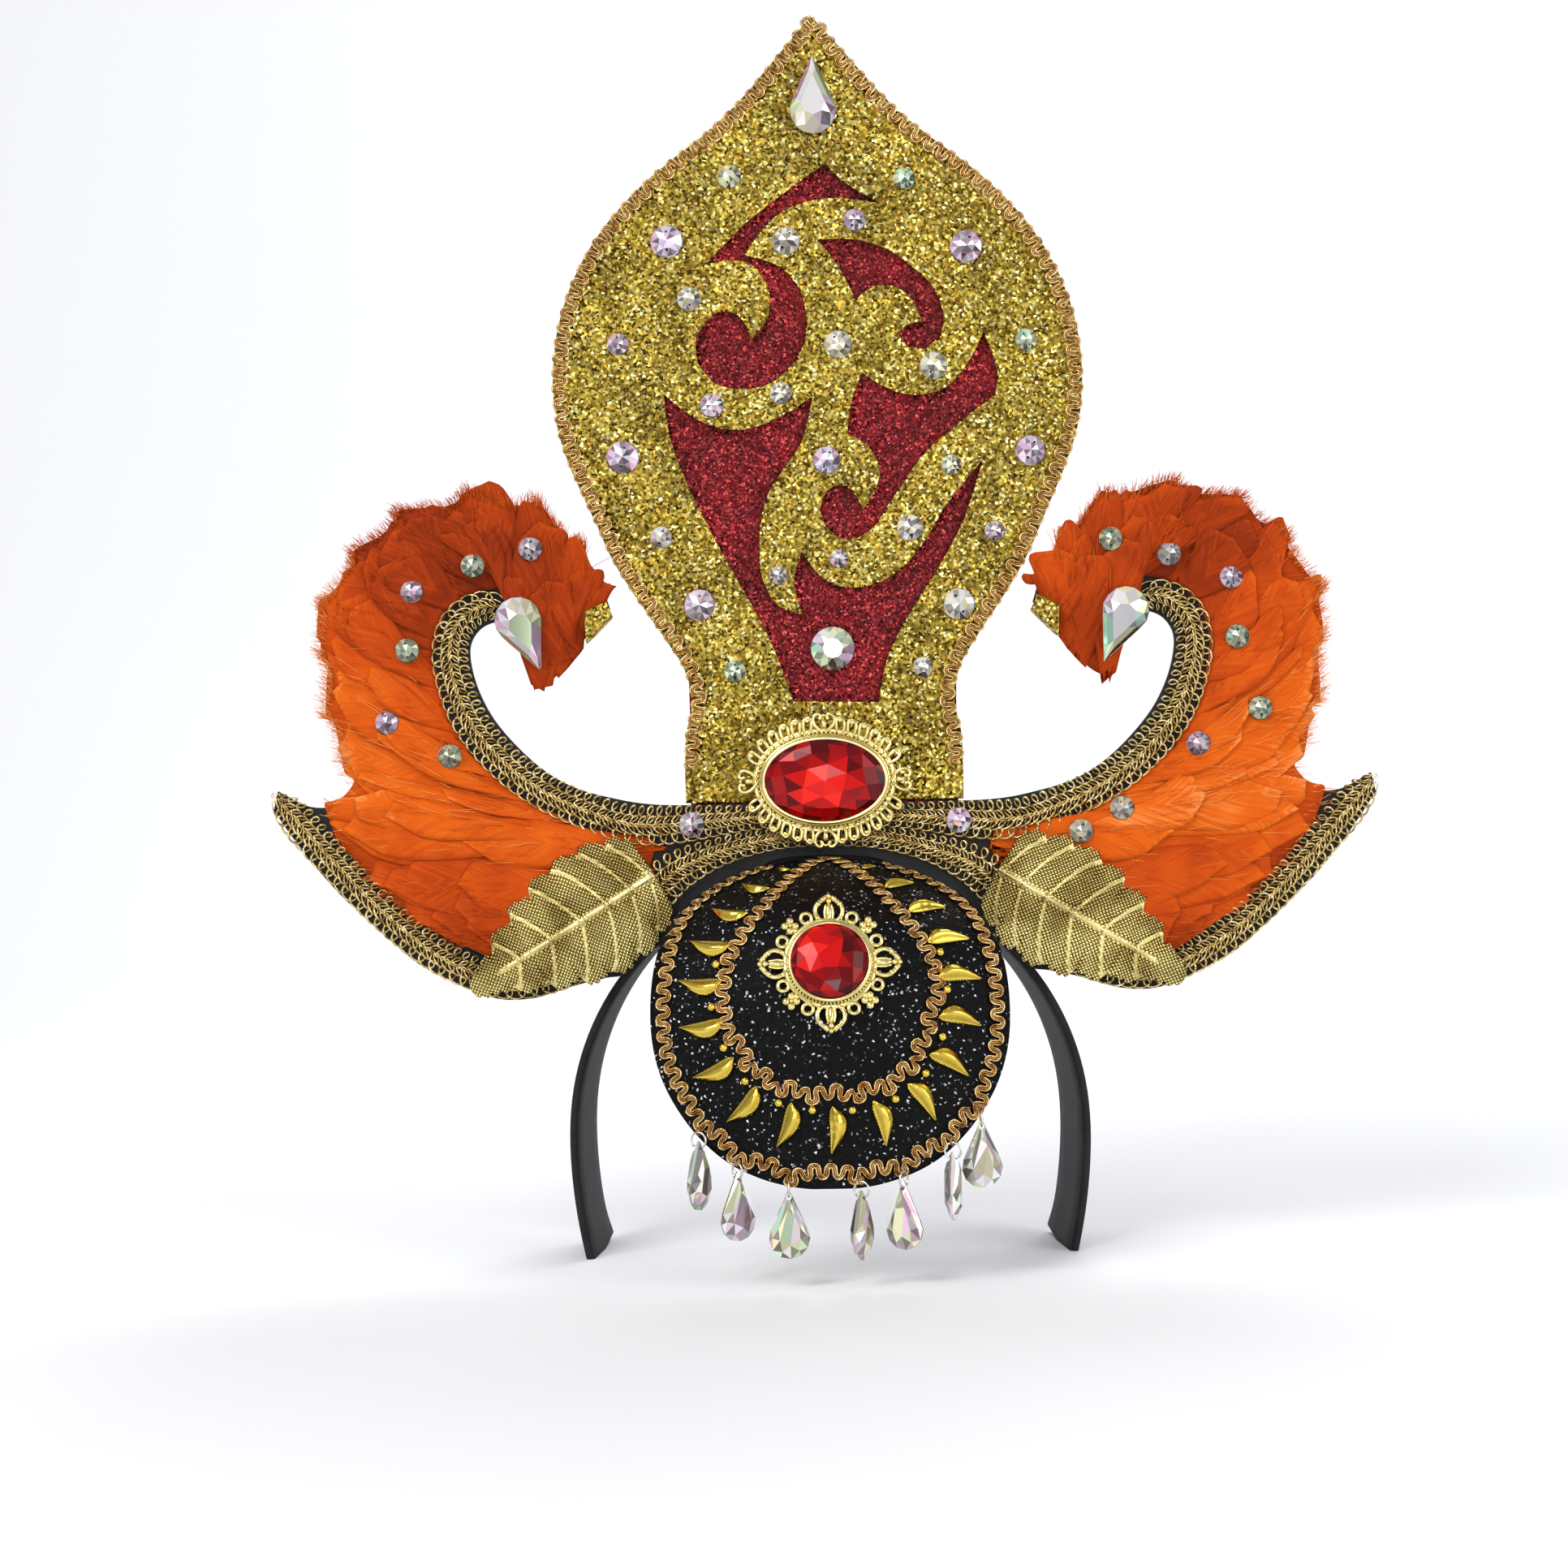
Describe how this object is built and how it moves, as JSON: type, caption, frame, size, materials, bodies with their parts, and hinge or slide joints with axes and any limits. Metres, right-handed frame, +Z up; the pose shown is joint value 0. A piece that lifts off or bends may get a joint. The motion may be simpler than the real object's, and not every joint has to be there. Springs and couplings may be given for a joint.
{
  "type": "feathered carnival crown",
  "caption": "Carnival crown on a black foam head band: gold onion panel with red scroll cut-outs, orange feather wings, looped gold braids, stamped leaves, filigree settings, a plate with drops",
  "frame": {"origin": "underside of the top of the head band, where the crown rests on the head", "axes": "+Z up along the upright panel, -Y towards the front of the face, +X to the right as seen from the front"},
  "size_m": [0.3778, 0.1163, 0.427],
  "materials": {
    "black_foam": "matt-satin black craft foam",
    "black_glitter": "black glitter foam",
    "gold_glitter": "gold glitter foam",
    "red_glitter": "red glitter foam",
    "gold_braid": "looped braid of antique-gold metallic cord",
    "copper_braid": "serpentine gimp braid of coppery-gold metallic cord",
    "orange_feather": "soft dyed feather vanes",
    "gold_metal": "stamped and cast pale-gold plating",
    "silver_wire": "bright silver wire",
    "red_stone": "faceted foil-backed acrylic",
    "rainbow_stone": "faceted foil-backed acrylic with a rainbow coating"
  },
  "bodies": {
    "root": {"head_band": "black_foam", "front_board": "black_foam", "forehead_plate": "black_glitter", "crown_panel": "gold_glitter", "panel_backing": "red_glitter", "curl_braid_left": "gold_braid", "curl_braid_right": "gold_braid", "edge_braid_left": "gold_braid", "edge_braid_right": "gold_braid", "panel_trim": "copper_braid", "plate_trim_outer": "copper_braid", "plate_trim_inner": "copper_braid", "feathers_left": "orange_feather", "feathers_right": "orange_feather", "leaf_left": "gold_metal", "leaf_right": "gold_metal", "oval_setting": "gold_metal", "round_setting": "gold_metal", "horn_01": "gold_metal", "horn_02": "gold_metal", "horn_03": "gold_metal", "horn_04": "gold_metal", "horn_05": "gold_metal", "horn_06": "gold_metal", "horn_07": "gold_metal", "horn_08": "gold_metal", "horn_09": "gold_metal", "horn_10": "gold_metal", "horn_11": "gold_metal", "horn_12": "gold_metal", "horn_13": "gold_metal", "horn_14": "gold_metal", "horn_15": "gold_metal", "horn_16": "gold_metal", "horn_17": "gold_metal", "horn_18": "gold_metal", "horn_19": "gold_metal", "oval_stone": "red_stone", "round_stone": "red_stone", "tip_stone": "rainbow_stone", "panel_stone": "rainbow_stone", "curl_stone_left": "rainbow_stone", "curl_stone_right": "rainbow_stone", "drop_1": "rainbow_stone", "drop_2": "rainbow_stone", "drop_3": "rainbow_stone", "drop_4": "rainbow_stone", "drop_5": "rainbow_stone", "drop_6": "rainbow_stone", "drop_7": "rainbow_stone", "ring_1": "silver_wire", "ring_2": "silver_wire", "ring_3": "silver_wire", "ring_4": "silver_wire", "ring_5": "silver_wire", "ring_6": "silver_wire", "ring_7": "silver_wire"}
  },
  "joints": []
}
